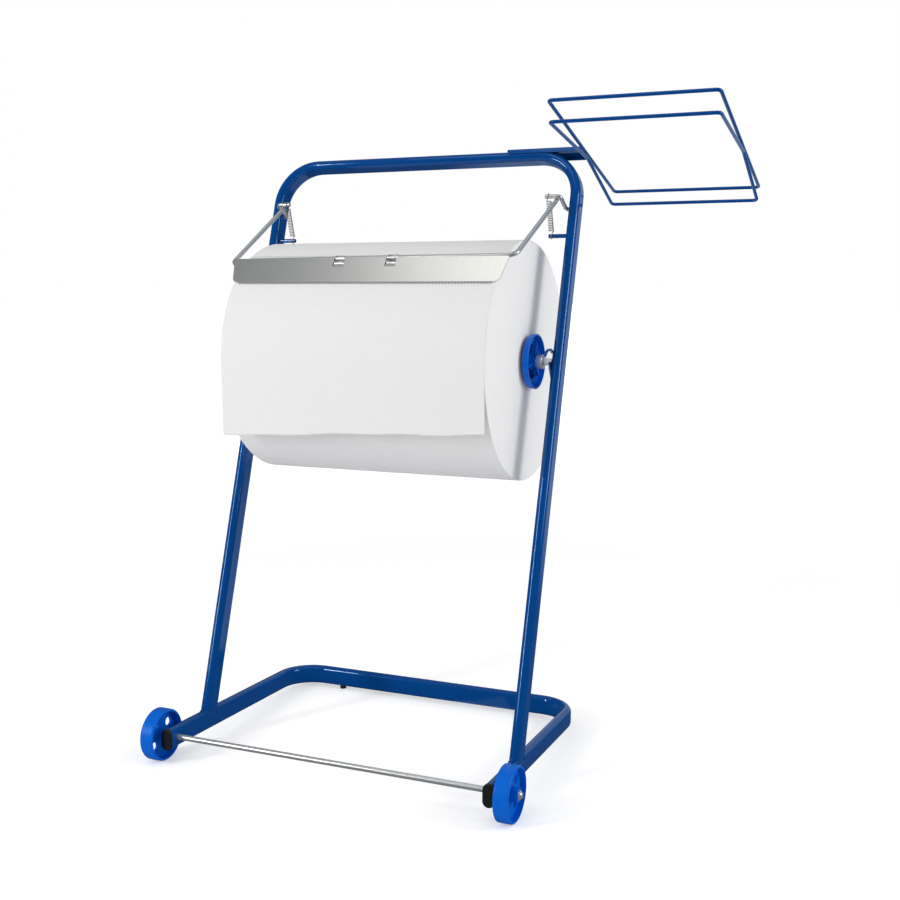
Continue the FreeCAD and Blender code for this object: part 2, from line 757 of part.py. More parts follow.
def least_gap(arcs):
    # least distance between two stretches of the wire that lie more than four wires apart along it
    step = spring_wire / 4
    points = []
    along = 0.0
    for arc in arcs:
        count = max(2, int(arc.Length / step))
        for point in arc.discretize(Number=count)[:-1]:
            points.append((along, point))
            along += arc.Length / (count - 1)
    window = int(3 * math.pi * spring_diameter / step)
    least = stub_reach
    for i, (place, point) in enumerate(points):
        for other_place, other in points[i + 1:i + window]:
            if other_place - place > 4 * spring_wire:
                least = min(least, point.distanceToPoint(other))
    return least - spring_wire


spring_axis = direction(hoop_point(0, pin_forward, pin_height), hoop_point(0, stub_forward, stub_height))


def spring_place(side):
    origin = hoop_point(side * spring_side, pin_forward, pin_height)
    return Placement(origin, Rotation(X.cross(spring_axis), X, spring_axis, "ZYX"))


def make_pin():
    # pin welded to the leg's inner face, with a groove for the spring's eye
    radius = pin_diameter / 2
    groove = radius - pin_groove_depth
    start = spring_side - pin_groove_width / 2
    end = spring_side + pin_groove_width / 2
    tip = spring_side - pin_overhang
    foot = inner_face - weld_gap
    profile = turned([(tip, 0), (tip, radius), (start, radius), (start, groove), (end, groove), (end, radius),
                      (foot, radius), (foot, 0)])
    return profile.translated(hoop_point(0, pin_forward, pin_height))


# Arm and rings for the waste bag
arm_end = outer_face - arm_end_inset


def rivet_places():
    return [outer_face - rivet_inset - rivet_pitch, outer_face - rivet_inset]


def make_bag_arm():
    # inverted channel that saddles the hoop's top bar
    top = hoop_length + arm_seat_gap + arm_sheet
    half = tube_width / 2 + arm_seat_gap + arm_sheet
    arm_start = outer_face - arm_inset
    channel = box((arm_start, arm_end), (-half, half), (top - arm_flange_depth, top))
    channel = channel.makeFillet(arm_bend_radius, top_edges(channel, top))
    under = top - arm_sheet
    hollow = box((arm_start - overlap, arm_end + overlap), (arm_sheet - half, half - arm_sheet),
                 (top - 2 * arm_flange_depth, under))
    hollow = hollow.makeFillet(arm_bend_radius - arm_sheet, top_edges(hollow, under))
    corners = [Vector(arm_start, side * half, top - 2 * arm_flange_depth) for side in (-1, 1)]
    noses = []
    for corner in corners:
        inward = -1 if corner.y > 0 else 1
        points = [corner, corner + X * arm_nose_chamfer, corner + Y * inward * arm_nose_chamfer]
        noses.append(Part.Face(Part.makePolygon(points + points[:1])).extrude(Z * 3 * arm_flange_depth))
    holes = [rod(Vector(x, 0, top - 2 * arm_flange_depth), Vector(x, 0, top + overlap),
                 rivet_diameter + 2 * press_clearance) for x in rivet_places()]
    return channel.cut([hollow] + noses + holes)


def top_edges(solid, height):
    # the long edges along x at this height
    return [edge for edge in solid.Edges
            if edge.BoundBox.ZMin > height - weld_gap and edge.BoundBox.XLength > tube_width]


def make_rivet(x):
    # domed head on the arm, shank through the bar's upper wall
    seat = hoop_length + arm_seat_gap + arm_sheet
    head_radius = rivet_head_diameter / 2
    sphere = (head_radius ** 2 + rivet_head_height ** 2) / (2 * rivet_head_height)
    head = Part.makeSphere(sphere, Vector(x, 0, seat + rivet_head_height - sphere))
    above = rod(Vector(x, 0, seat), Vector(x, 0, seat + 2 * rivet_head_height), 2 * rivet_head_diameter)
    shank = rod(Vector(x, 0, hoop_length - tube_wall - rivet_foot_length), Vector(x, 0, seat + overlap),
                rivet_diameter)
    return joined([head.common(above), shank])


ring_back = Vector(0, math.cos(math.radians(ring_tilt)), math.sin(math.radians(ring_tilt)))
ring_up = X.cross(ring_back)
ring_origin = Vector(0, 0, hoop_length + ring_rise)


def ring_point(x, back, up):
    return ring_origin + X * x + ring_back * back + ring_up * up


def ring_sides():
    near = arm_end + arm_end_gap + ring_wire / 2
    return near, near + ring_width - ring_wire


def make_upper_ring():
    near, far = ring_sides()
    front = ring_wire / 2 - ring_front
    rear = ring_rear - ring_wire / 2
    path = [ring_point(near, front, 0), ring_point(far, front, 0), ring_point(far, rear, 0),
            ring_point(near, rear, 0)]
    return bent_wire(path, ring_bend_radius, ring_wire, side=Vector(0.3, 0.2, 1), closed=True)


def make_lower_ring():
    near, far = ring_sides()
    front = ring_wire / 2 - lower_ring_front
    rear = lower_ring_rear - ring_wire / 2
    below = -ring_wire - ring_weld_gap
    peak_sag = lower_ring_peak_sag()
    path = []
    for x in (near, far):
        side = [ring_point(x, front, below - lower_ring_front_droop),
                ring_point(x, lower_ring_peak, below + peak_sag),
                ring_point(x, rear, below - lower_ring_rear_droop)]
        path += side if x == near else side[::-1]
    radii = [ring_bend_radius, lower_ring_peak_radius, ring_bend_radius] * 2
    return bent_wire(path, radii, ring_wire, side=Vector(0.3, 0.2, 1), closed=True)


def lower_ring_peak_sag():
    # the round bend at the peak lies this far below the corner of its two straight runs
    run_front = lower_ring_front + lower_ring_peak
    run_rear = lower_ring_rear - lower_ring_peak
    turn = math.atan2(lower_ring_front_droop, run_front) + math.atan2(lower_ring_rear_droop, run_rear)
    return lower_ring_peak_radius * (1 / math.cos(turn / 2) - 1)


# The stand, piece by piece; left pieces are the right ones mirrored, apart from the springs
def both_sides(name, right):
    return {name + "_right": right, name + "_left": mirrored(right)}


def on_base():
    pieces = {"base_tube": make_base_tube(), "hoop_tube": make_hoop_tube(), "wheel_axle": make_axle()}
    pieces.update(both_sides("end_cap", make_end_cap()))
    pieces.update(both_sides("rear_foot", make_foot(foot_side)))
    pieces.update(both_sides("axle_spacer", make_spacer()))
    pieces.update(both_sides("axle_cap", make_axle_cap()))
    pieces.update(both_sides("wheel", make_wheel()))
    return pieces


def on_hoop():
    pieces = {"paper_roll": make_paper_roll(), "core_tube": make_core(), "roll_rod": make_roll_rod(),
              "tear_blade": make_blade(), "bag_arm": make_bag_arm(), "bag_ring_upper": make_upper_ring(),
              "bag_ring_lower": make_lower_ring()}
    pieces["bag_arm_rivets"] = Part.makeCompound([make_rivet(x) for x in rivet_places()])
    pieces.update(both_sides("core_plug", make_plug()))
    pieces.update(both_sides("rod_collar", make_collar()))
    pieces.update(both_sides("roll_hook", make_roll_hook()))
    pieces.update(both_sides("bail_crank", make_crank()))
    pieces.update(both_sides("spring_pin", make_pin()))
    pieces["bail_wire_right"] = make_bail_wire(1, blade_right_wire_end_below_top, blade_right_wire_climb)
    pieces["bail_wire_left"] = make_bail_wire(-1, blade_left_wire_below_top, 0)
    body, body_arcs = wire_along(eye_nodes() + coil_nodes())
    eye, eye_arcs = wire_along(coil_nodes()[-1:] + turned_over(eye_nodes()))
    for name, side in (("left", -1), ("right", 1)):
        pieces["spring_" + name] = lying(body, spring_place(side))
        pieces["spring_eye_" + name] = lying(eye, spring_place(side))
    arcs = body_arcs + eye_arcs
    tightest = min(arc.Curve.Radius for arc in arcs)
    print("spring: least gap to itself %.2f mm, tightest bend %.2f mm" % (least_gap(arcs), tightest))
    return pieces


def stand():
    pieces = {name: lying(solid, base_on_floor) for name, solid in on_base().items()}
    pieces.update({name: lying(solid, hoop_on_floor) for name, solid in on_hoop().items()})
    pieces["hanging_sheet"] = make_hanging_sheet()
    return pieces


def bottom_centre(pieces):
    bounds = Part.makeCompound(list(pieces.values())).optimalBoundingBox()
    return Vector(bounds.Center.x, bounds.Center.y, bounds.ZMin), bounds


pieces = stand()
origin, bounds = bottom_centre(pieces)
axes = {
    "wheel axle": base_on_floor.multVec(axle_point) - origin,
    "roll axis": hoop_on_floor.multVec(hoop_point(0, roll_forward, roll_height)) - origin,
    "bail pivot": hoop_on_floor.multVec(hoop_point(0, 0, pivot_height)) - origin,
    "crank stub": hoop_on_floor.multVec(hoop_point(0, stub_forward, stub_height)) - origin,
    "spring pin": hoop_on_floor.multVec(hoop_point(0, pin_forward, pin_height)) - origin,
}
os.makedirs("parts", exist_ok=True)
for name, solid in sorted(pieces.items()):
    solid.translated(-origin).exportStep("parts/" + name + ".step")
for name, point in axes.items():
    print("%s: y %.3f mm, z %.3f mm" % (name, point.y, point.z))
print("overall: %.1f x %.1f x %.1f mm" % (bounds.XLength, bounds.YLength, bounds.ZLength))
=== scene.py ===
import bmesh
import bpy
import json
import math
import random
from mathutils import Matrix, Vector


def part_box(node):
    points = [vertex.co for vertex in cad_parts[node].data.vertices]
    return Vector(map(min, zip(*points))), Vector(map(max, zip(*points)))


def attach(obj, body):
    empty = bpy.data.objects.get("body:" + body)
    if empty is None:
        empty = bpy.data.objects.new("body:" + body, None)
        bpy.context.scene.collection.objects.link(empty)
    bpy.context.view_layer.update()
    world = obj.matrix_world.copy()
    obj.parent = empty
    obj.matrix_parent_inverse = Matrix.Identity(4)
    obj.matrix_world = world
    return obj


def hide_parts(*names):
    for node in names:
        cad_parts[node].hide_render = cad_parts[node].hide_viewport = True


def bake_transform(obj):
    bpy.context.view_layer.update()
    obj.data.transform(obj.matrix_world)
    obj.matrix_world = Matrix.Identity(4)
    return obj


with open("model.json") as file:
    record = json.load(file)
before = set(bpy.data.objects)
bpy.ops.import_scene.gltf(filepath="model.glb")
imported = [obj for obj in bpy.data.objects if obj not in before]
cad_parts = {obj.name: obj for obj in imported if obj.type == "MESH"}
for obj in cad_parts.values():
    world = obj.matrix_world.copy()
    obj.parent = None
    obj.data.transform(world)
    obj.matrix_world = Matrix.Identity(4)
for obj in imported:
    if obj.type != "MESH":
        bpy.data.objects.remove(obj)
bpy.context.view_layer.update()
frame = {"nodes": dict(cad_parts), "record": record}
nodes = frame["nodes"]
scene = bpy.context.scene
mm = 0.001
sides = (("left", -1), ("right", 1))
random.seed(11)
print("frame loaded:", len(nodes), "nodes")

# the two slanted frames of the stand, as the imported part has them, in mm and degrees
standFrames = {
    "middle": -95.6,               # x of the plane half way between the legs
    "baseOrigin": (-248.150, 21.919), "baseTurn": -2.90235,
    "hoopOrigin": (-158.944, 47.435), "hoopTurn": -18.84235,
    "sidePlane": 244.3,            # mid plane of a leg, from the middle
    "innerFace": 236.8,            # inner side of a leg, from the middle
    "springPin": (-2.0, 730.1),    # y and z of the springs' lower pins in the hoop's frame
}


def slantedFrame(origin, turn):
    place = Vector((standFrames["middle"], *origin)) * mm
    return Matrix.Translation(place) @ Matrix.Rotation(math.radians(turn), 4, "X") @ Matrix.Scale(mm, 4)


baseFrame = slantedFrame(standFrames["baseOrigin"], standFrames["baseTurn"])
hoopFrame = slantedFrame(standFrames["hoopOrigin"], standFrames["hoopTurn"])


def centreOf(node):
    low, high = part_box(node)
    return (low + high) / 2


# ---- camera, fitted to the stand's straight tubes, in metres and degrees

camera = {"place": (0.65312, -1.57458, 0.69443), "yaw": 22.6148, "pitch": -9.0870, "roll": -0.4324,
          "lens": 47.2706, "sensor": 36.0, "shift": (-0.00661, 0.00819), "clip": (0.05, 60.0)}

cameraData = bpy.data.cameras.new("photoCamera")
cameraData.sensor_width = camera["sensor"]
cameraData.lens = camera["lens"]
cameraData.shift_x, cameraData.shift_y = camera["shift"]
cameraData.clip_start, cameraData.clip_end = camera["clip"]
cameraObject = bpy.data.objects.new("photoCamera", cameraData)
scene.collection.objects.link(cameraObject)
cameraObject.matrix_world = (Matrix.Translation(Vector(camera["place"]))
                             @ Matrix.Rotation(math.radians(camera["yaw"]), 4, "Z")
                             @ Matrix.Rotation(math.radians(90 + camera["pitch"]), 4, "X")
                             @ Matrix.Rotation(math.radians(camera["roll"]), 4, "Z"))
scene.camera = cameraObject
scene.view_settings.view_transform = "Standard"
print("camera placed")

# ---- materials, with sizes in mm


def hexColour(text):
    # sRGB hex to the linear values that Blender works in
    levels = [int(text[i:i + 2], 16) / 255 for i in (1, 3, 5)]
    return [c / 12.92 if c <= 0.04045 else ((c + 0.055) / 1.055) ** 2.4 for c in levels] + [1.0]


def emptyTree(owner):
    # the node tree of a material or a world, with nothing in it yet
    owner.use_nodes = True
    owner.node_tree.nodes.clear()
    return owner.node_tree


def addNode(tree, kind, settings=None, links=None):
    # one node with its settings (by input name, input number or property) and the sockets that feed it
    node = tree.nodes.new(kind)
    for name, value in (settings or {}).items():
        if isinstance(name, int) or name in node.inputs:
            node.inputs[name].default_value = value
        else:
            setattr(node, name, value)
    for name, socket in (links or {}).items():
        tree.links.new(socket, node.inputs[name])
    return node


def newMaterial(name, shaderSettings):
    material = bpy.data.materials.new(name)
    tree = emptyTree(material)
    shader = addNode(tree, "ShaderNodeBsdfPrincipled", shaderSettings)
    addNode(tree, "ShaderNodeOutputMaterial", {}, {"Surface": shader.outputs["BSDF"]})
    place = addNode(tree, "ShaderNodeTexCoord").outputs["Object"]
    return material, tree, shader, place


def colourPatches(tree, shader, place, look):
    # slow drift between two near colours, so that no surface is one flat colour
    patches = addNode(tree, "ShaderNodeTexNoise", {
        "Scale": 1 / (look["patch"] * mm), "Detail": look.get("patchDetail", 3.0)}, {"Vector": place})
    first, second = look["colours"]
    mixed = addNode(tree, "ShaderNodeMix", {
        "data_type": "RGBA", 6: hexColour(first), 7: hexColour(second)}, {0: patches.outputs["Fac"]})
    tree.links.new(mixed.outputs[2], shader.inputs["Base Color"])
    return patches


def surfaceGrain(tree, shader, place, look):
    # even bump, its wavelength and depth in mm
    grain = addNode(tree, "ShaderNodeTexNoise", {
        "Scale": 1 / (look["grain"] * mm), "Detail": look.get("grainDetail", 2.0)}, {"Vector": place})
    bump = addNode(tree, "ShaderNodeBump", {"Strength": 1.0, "Distance": look["grainDepth"] * mm},
                   {"Height": grain.outputs["Fac"]})
    tree.links.new(bump.outputs["Normal"], shader.inputs["Normal"])
    return bump


def grainedMaterial(name, look):
    # a finish that only drifts in colour and has an even grain
    material, tree, shader, place = newMaterial(name, look["shader"])
    colourPatches(tree, shader, place, look)
    surfaceGrain(tree, shader, place, look)
    return material


# gloss polyester powder coat on steel tube: deep blue with a faint orange peel under a clear shine
powderCoatLook = {
    "colours": ("#00468C", "#003F82"), "patch": 70.0, "grain": 2.4, "grainDepth": 0.0012,
    "shader": {"Roughness": 0.11, "Specular IOR Level": 0.45, "Specular Tint": hexColour("#8FBDF0"),
               "Coat Weight": 0.35, "Coat Roughness": 0.02}}


def powderCoat(look):
    material, tree, shader, place = newMaterial("polyesterPowderCoatBlue", look["shader"])
    colourPatches(tree, shader, place, look)
    peel = surfaceGrain(tree, shader, place, look)
    tree.links.new(peel.outputs["Normal"], shader.inputs["Coat Normal"])
    return material


# moulded polypropylene: bright blue and half gloss; its spark-eroded grain is drawn coarse, to show
mouldedBlueLook = {
    "colours": ("#0067D6", "#005FCB"), "patch": 18.0, "grain": 1.1, "grainDepth": 0.004,
    "shader": {"Roughness": 0.34, "IOR": 1.49, "Specular IOR Level": 0.4, "Specular Tint": hexColour("#7DB0F0"),
               "Subsurface Weight": 0.04, "Subsurface Scale": 0.002}}

# moulded polyethylene caps and spacers: near black and half matt, with a grain drawn coarse, to show
mouldedBlackLook = {
    "colours": ("#111110", "#191918"), "patch": 9.0, "grain": 0.9, "grainDepth": 0.02,
    "shader": {"Roughness": 0.46, "IOR": 1.51}}

# moulded rubber of the feet: dull, dusty black that takes hardly any highlight
rubberLook = {
    "colours": ("#161616", "#2A2928"), "patch": 4.0, "grain": 0.7, "grainDepth": 0.06,
    "shader": {"Roughness": 0.78, "IOR": 1.52}}

# spiral-wound board of the core: brown and matt, cloudy, with a coarse fibre
boardLook = {
    "colours": ("#8C6A45", "#6E5234"), "patch": 34.0, "patchDetail": 8.0,
    "grain": 1.2, "grainDepth": 0.12, "grainDetail": 4.0,
    "shader": {"Roughness": 0.88, "Specular IOR Level": 0.25}}

# bright zinc plate on drawn steel wire and rod: silvery and a little clouded, just uneven enough to blur what
# it mirrors
zincLook = {
    "colours": ("#E8E8E6", "#D4D5D5"), "patch": 14.0, "grain": 0.9, "grainDepth": 0.0003,
    "roughness": (0.24, 0.38), "shader": {"Metallic": 0.76}}

# the same plate on spring wire: darker and duller
springLook = dict(zincLook, colours=("#B9B9B7", "#8E8E8C"), patch=6.0, roughness=(0.3, 0.42))


def zincPlate(name, look):
    material, tree, shader, place = newMaterial(name, look["shader"])
    patches = colourPatches(tree, shader, place, look)
    clear, clouded = look["roughness"]
    dull = addNode(tree, "ShaderNodeMapRange", {"To Min": clear, "To Max": clouded},
                   {"Value": patches.outputs["Fac"]})
    tree.links.new(dull.outputs["Result"], shader.inputs["Roughness"])
    surfaceGrain(tree, shader, place, look)
    return material


# satin zinc-coated sheet of the tear blade: ground across its length, so highlights spread softly along it;
# the grinding lines are drawn wide, to show
bladeLook = {
    "colours": ("#F4F1EA", "#E7E4DD"), "streakLength": 60.0, "streakWidth": 0.8, "streakDetail": 4.0,
    "roughness": (0.26, 0.36), "lineDepth": 0.004, "lineStrength": 0.5, "shader": {"Metallic": 1.0},
    "groundTeeth": "#C6C5C2", "groundRoughness": 0.5,
    "toothTips": (-120.3, 674.66), "bladeUp": (0.0, 0.5305, 0.8477),   # y and z of the tips, way up the blade
    "toothDepth": 3.5, "toothRoot": (-0.2, 0.3)}                       # band in which the ground teeth end


def satinSheet(look):
    material, tree, shader, place = newMaterial("galvanisedSheetSatin", look["shader"])
    lengthwise = 1 / (look["streakLength"] * mm)
    stretch = addNode(tree, "ShaderNodeMapping", {
        "Scale": (1 / (look["streakWidth"] * mm), lengthwise, lengthwise)}, {"Vector": place})
    streaks = addNode(tree, "ShaderNodeTexNoise", {"Scale": 1.0, "Detail": look["streakDetail"]},
                      {"Vector": stretch.outputs["Vector"]})
    light, dark = look["colours"]
    mixed = addNode(tree, "ShaderNodeMix", {
        "data_type": "RGBA", 6: hexColour(light), 7: hexColour(dark)}, {0: streaks.outputs["Fac"]})
    smooth, streaked = look["roughness"]
    dull = addNode(tree, "ShaderNodeMapRange", {"To Min": smooth, "To Max": streaked},
                   {"Value": streaks.outputs["Fac"]})
    bump = addNode(tree, "ShaderNodeBump", {
        "Strength": look["lineStrength"], "Distance": look["lineDepth"] * mm},
        {"Height": streaks.outputs["Fac"]})
    # the punched teeth are ground: darker and duller than the face above them
    along = addNode(tree, "ShaderNodeVectorMath", {"operation": "DOT_PRODUCT", 1: look["bladeUp"]}, {0: place})
    y, z = look["toothTips"]
    tips = (y * look["bladeUp"][1] + z * look["bladeUp"][2]) * mm
    under, over = (tips + (look["toothDepth"] + margin) * mm for margin in look["toothRoot"])
    teeth = addNode(tree, "ShaderNodeMapRange", {
        "From Min": under, "From Max": over, "To Min": 1.0, "To Max": 0.0}, {"Value": along.outputs["Value"]})
    ground = addNode(tree, "ShaderNodeMix", {"data_type": "RGBA", 7: hexColour(look["groundTeeth"])},
                     {0: teeth.outputs["Result"], 6: mixed.outputs[2]})
    rough = addNode(tree, "ShaderNodeMix", {"data_type": "FLOAT", 3: look["groundRoughness"]},
                    {0: teeth.outputs["Result"], 2: dull.outputs["Result"]})
    tree.links.new(ground.outputs[2], shader.inputs["Base Color"])
    tree.links.new(rough.outputs[0], shader.inputs["Roughness"])
    tree.links.new(bump.outputs["Normal"], shader.inputs["Normal"])
    return material


# creped wiping paper: white and matt, with a soft mottle and furrows across the feed, drawn coarse, to show
paperLook = {
    "colours": ("#ECECEC", "#E7E7E8"), "patch": 6.0, "patchDetail": 6.0,
    "furrow": 1.6, "furrowLength": 22.0, "furrowDepth": 0.10, "furrowStrength": 0.6, "furrowDetail": 3.0,
    "fibre": 0.7, "fibreDepth": 0.05, "fibreStrength": 0.5, "fibreDetail": 2.0,
    "shader": {"Roughness": 0.92, "Specular IOR Level": 0.2, "Sheen Weight": 0.08, "Sheen Roughness": 0.6}}


def crepePaper(look):
    material, tree, shader, place = newMaterial("crepedTissue", look["shader"])
    colourPatches(tree, shader, place, look)
    crosswise = 1 / (look["furrow"] * mm)
    stretch = addNode(tree, "ShaderNodeMapping", {
        "Scale": (1 / (look["furrowLength"] * mm), crosswise, crosswise)}, {"Vector": place})
    furrows = addNode(tree, "ShaderNodeTexNoise", {"Scale": 1.0, "Detail": look["furrowDetail"]},
                      {"Vector": stretch.outputs["Vector"]})
    fibres = addNode(tree, "ShaderNodeTexNoise", {
        "Scale": 1 / (look["fibre"] * mm), "Detail": look["fibreDetail"]}, {"Vector": place})
    crepe = addNode(tree, "ShaderNodeBump", {
        "Strength": look["furrowStrength"], "Distance": look["furrowDepth"] * mm},
        {"Height": furrows.outputs["Fac"]})
    bump = addNode(tree, "ShaderNodeBump", {
        "Strength": look["fibreStrength"], "Distance": look["fibreDepth"] * mm},
        {"Height": fibres.outputs["Fac"], "Normal": crepe.outputs["Normal"]})
    tree.links.new(bump.outputs["Normal"], shader.inputs["Normal"])
    return material


# cut edges of the wound web on the roll's ends: rings about the core, some layers a shade darker; the real
# layers are 0.2 mm thick and are drawn coarser, to show
woundLook = {
    "white": "#F0F0F1", "shade": "#D6D8DB", "contrast": (0.12, 0.42),
    "ring": 3.4, "ringDetail": 3.0, "ringDepth": 0.7, "ringStrength": 0.7,
    "broadRing": 13.0, "broadDetail": 2.0,
    "shader": {"Roughness": 0.95, "Specular IOR Level": 0.15}}


def woundPaper(look):
    material, tree, shader, place = newMaterial("woundTissueEdge", look["shader"])
    axis = centreOf("roll_rod")
    centred = addNode(tree, "ShaderNodeMapping", {
        "Location": (0.0, -axis.y, -axis.z), "Scale": (0.0, 1.0, 1.0)}, {"Vector": place})
    radius = addNode(tree, "ShaderNodeVectorMath", {"operation": "LENGTH"}, {0: centred.outputs["Vector"]})
    rings = addNode(tree, "ShaderNodeTexNoise", {
        "noise_dimensions": "1D", "Scale": 1 / (look["ring"] * mm), "Detail": look["ringDetail"]},
        {"W": radius.outputs["Value"]})
    broad = addNode(tree, "ShaderNodeTexNoise", {
        "noise_dimensions": "1D", "Scale": 1 / (look["broadRing"] * mm), "Detail": look["broadDetail"]},
        {"W": radius.outputs["Value"]})
    both = addNode(tree, "ShaderNodeMath", {"operation": "MULTIPLY"},
                   {0: rings.outputs["Fac"], 1: broad.outputs["Fac"]})
    darkest, lightest = look["contrast"]
    spread = addNode(tree, "ShaderNodeMapRange", {"From Min": darkest, "From Max": lightest},
                     {"Value": both.outputs[0]})
    mixed = addNode(tree, "ShaderNodeMix", {
        "data_type": "RGBA", 6: hexColour(look["shade"]), 7: hexColour(look["white"])},
        {0: spread.outputs["Result"]})
    bump = addNode(tree, "ShaderNodeBump", {
        "Strength": look["ringStrength"], "Distance": look["ringDepth"] * mm}, {"Height": rings.outputs["Fac"]})
    tree.links.new(mixed.outputs[2], shader.inputs["Base Color"])
    tree.links.new(bump.outputs["Normal"], shader.inputs["Normal"])
    return material


finishes = {
    "powder": powderCoat(powderCoatLook),
    "blue": grainedMaterial("polypropyleneBlue", mouldedBlueLook),
    "black": grainedMaterial("polyethyleneBlack", mouldedBlackLook),
    "rubber": grainedMaterial("mouldedRubber", rubberLook),
    "board": grainedMaterial("spiralWoundBoard", boardLook),
    "zinc": zincPlate("brightZincPlate", zincLook),
    "spring": zincPlate("zincedSpringWire", springLook),
    "blade": satinSheet(bladeLook),
    "paper": crepePaper(paperLook),
    "wound": woundPaper(woundLook),
}
finishOfSlot = {
    "blue_powder_coat": "powder", "blue_coated_rivets": "powder", "blue_plastic": "blue",
    "black_plastic": "black", "black_rubber": "rubber", "bright_zinc": "zinc", "galvanised_sheet": "blade",
    "spring_steel": "spring", "white_paper": "paper", "cardboard": "board",
}
for row in frame["record"]["subparts"]:
    mesh = nodes[row["node"]].data
    mesh.materials.clear()
    mesh.materials.append(finishes[finishOfSlot[row["material_slot"]]])
print("materials made:", len(finishes))

# ---- mesh helpers


def placePiece(name, data, materials, body):
    # a piece with smooth shading, at the origin with its place in its mesh
    data.name = name
    data.materials.clear()
    for material in materials:
        data.materials.append(finishes[material])
    data.shade_smooth()
    piece = bpy.data.objects.new(name, data)
    scene.collection.objects.link(piece)
    if body:
        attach(piece, body)
    return piece


def finishPiece(name, mesh, materials, body):
    # turns a bmesh into such a piece
    bmesh.ops.recalc_face_normals(mesh, faces=mesh.faces)
    data = bpy.data.meshes.new(name)
    mesh.to_mesh(data)
    mesh.free()
    return placePiece(name, data, materials, body)


wireMesh = {"sections": 2, "order": 3, "resolution": 3, "rippleStep": 2.1}


def tubeAlong(name, points, radius, material, body, closed=False, ripple=0.0):
    # round wire or bead along a smooth line of points, made a mesh; ripple is the share its radius swells by
    curve = bpy.data.curves.new(name, "CURVE")
    curve.dimensions = "3D"
    curve.bevel_depth = radius * mm
    curve.bevel_resolution = wireMesh["sections"]
    curve.use_fill_caps = True
    line = curve.splines.new("NURBS")
    line.points.add(len(points) - 1)
    for i, point in enumerate(points):
        line.points[i].co = (*point, 1.0)
        line.points[i].radius = 1 + ripple * math.sin(i * wireMesh["rippleStep"])
    line.use_cyclic_u = closed
    line.order_u = wireMesh["order"]
    line.use_endpoint_u = not closed
    line.resolution_u = wireMesh["resolution"]
    holder = bpy.data.objects.new(name, curve)
    scene.collection.objects.link(holder)
    data = bpy.data.meshes.new_from_object(holder)
    bpy.data.objects.remove(holder)
    return placePiece(name, data, [material], body)


# ---- paper roll, its layers a little uneven on the ends and round the outside

paperRoll = {"coreGap": 0.05, "edgeRound": 0.6, "rings": 58, "ringStep": 0.22, "lengthSteps": 20,
             "outerDip": 0.25, "turnSteps": 160, "merge": 0.001, "endFacing": 0.7, "sharpAngle": 35}


def makeRoll(p):
    low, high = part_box("paper_roll")
    axis = centreOf("roll_rod")
    outer = (high.z - low.z) / 2
    coreLow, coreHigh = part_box("core_tube")
    bore = (coreHigh.z - coreLow.z) / 2 + p["coreGap"] * mm
    edge = p["edgeRound"] * mm

    def endLayers(face, inward, order):
        # x and radius of the layers on one end; the innermost one is flush
        return [(face + inward * (random.uniform(0.0, p["ringStep"]) * mm if i else 0.0),
                 bore + (outer - edge - bore) * i / (p["rings"] - 1)) for i in order]

    profile = endLayers(low.x, 1, range(p["rings"]))
    for i in range(p["lengthSteps"] + 1):
        x = low.x + edge + (high.x - low.x - 2 * edge) * i / p["lengthSteps"]
        profile.append((x, outer - random.uniform(0.0, p["outerDip"]) * mm))
    profile += endLayers(high.x, -1, reversed(range(p["rings"])))
    mesh = bmesh.new()
    corners = [mesh.verts.new((x, axis.y, axis.z + radius)) for x, radius in profile]
    for a, b in zip(corners, corners[1:] + corners[:1]):
        mesh.edges.new((a, b))
    bmesh.ops.spin(mesh, geom=mesh.verts[:] + mesh.edges[:], cent=axis, axis=(1, 0, 0), angle=math.tau,
                   steps=p["turnSteps"], use_merge=True, use_duplicate=False)
    bmesh.ops.remove_doubles(mesh, verts=mesh.verts, dist=p["merge"] * mm)
    bmesh.ops.recalc_face_normals(mesh, faces=mesh.faces)
    for face in mesh.faces:
        face.material_index = 1 if abs(face.normal.x) > p["endFacing"] else 0
    roll = finishPiece("woundRoll", mesh, ["paper", "wound"], "roll")
    roll.data.set_sharp_from_angle(angle=math.radians(p["sharpAngle"]))
    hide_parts("paper_roll")


makeRoll(paperRoll)
print("roll wound")

# ---- loose end of the paper, lying on the roll and hanging free in front of it

looseSheet = {
    "startAngle": 62.0, "lift": 0.16, "thickness": 0.2,    # angle above the level of the roll's axis
    "dropLeft": 101.0, "dropRight": 83.0,                  # from that level down to the torn edge
    "columns": 266, "arcRows": 40, "freeRows": 34,
    "edgeWave": 1.6, "edgeWaves": ((9.0, 0.0, 0.6), (23.0, 1.0, 0.4)),    # rate, phase and share of each wave
    "tearDepth": 0.7, "waveDepth": 0.35, "waveRate": 15.0, "waveSlant": 2.5}


